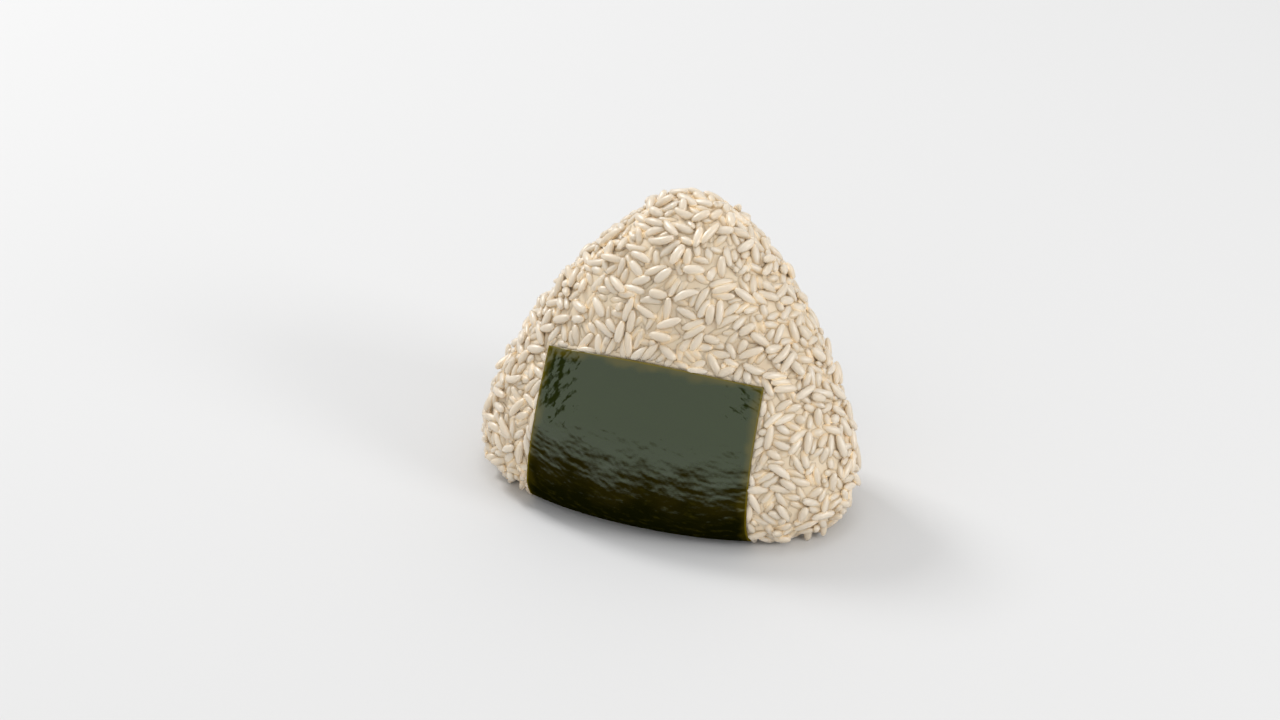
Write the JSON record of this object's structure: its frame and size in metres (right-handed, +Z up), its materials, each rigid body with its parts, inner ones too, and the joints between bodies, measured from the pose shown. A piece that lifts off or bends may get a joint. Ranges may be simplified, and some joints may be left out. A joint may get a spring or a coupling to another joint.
{
  "type": "onigiri rice ball",
  "caption": "Hand-pressed rounded triangle of cooked short-grain rice, leaning slightly back, with a dark nori strip folded under its base and up both faces.",
  "frame": {"origin": "middle of the base, on the surface that the rice ball stands on", "axes": "+Z up from the base to the rounded apex; +X to the right across the broad front face, which faces -Y; the body leans back towards +Y as it rises"},
  "size_m": [0.0994, 0.0588, 0.0752],
  "materials": {
    "rice": "moist cooked rice grains, cream white with a soft gloss",
    "nori": "dark green dried seaweed sheet, glossy, finely crinkled where it bends"
  },
  "bodies": {
    "root": {"rice": "rice", "nori": "nori"}
  },
  "joints": []
}
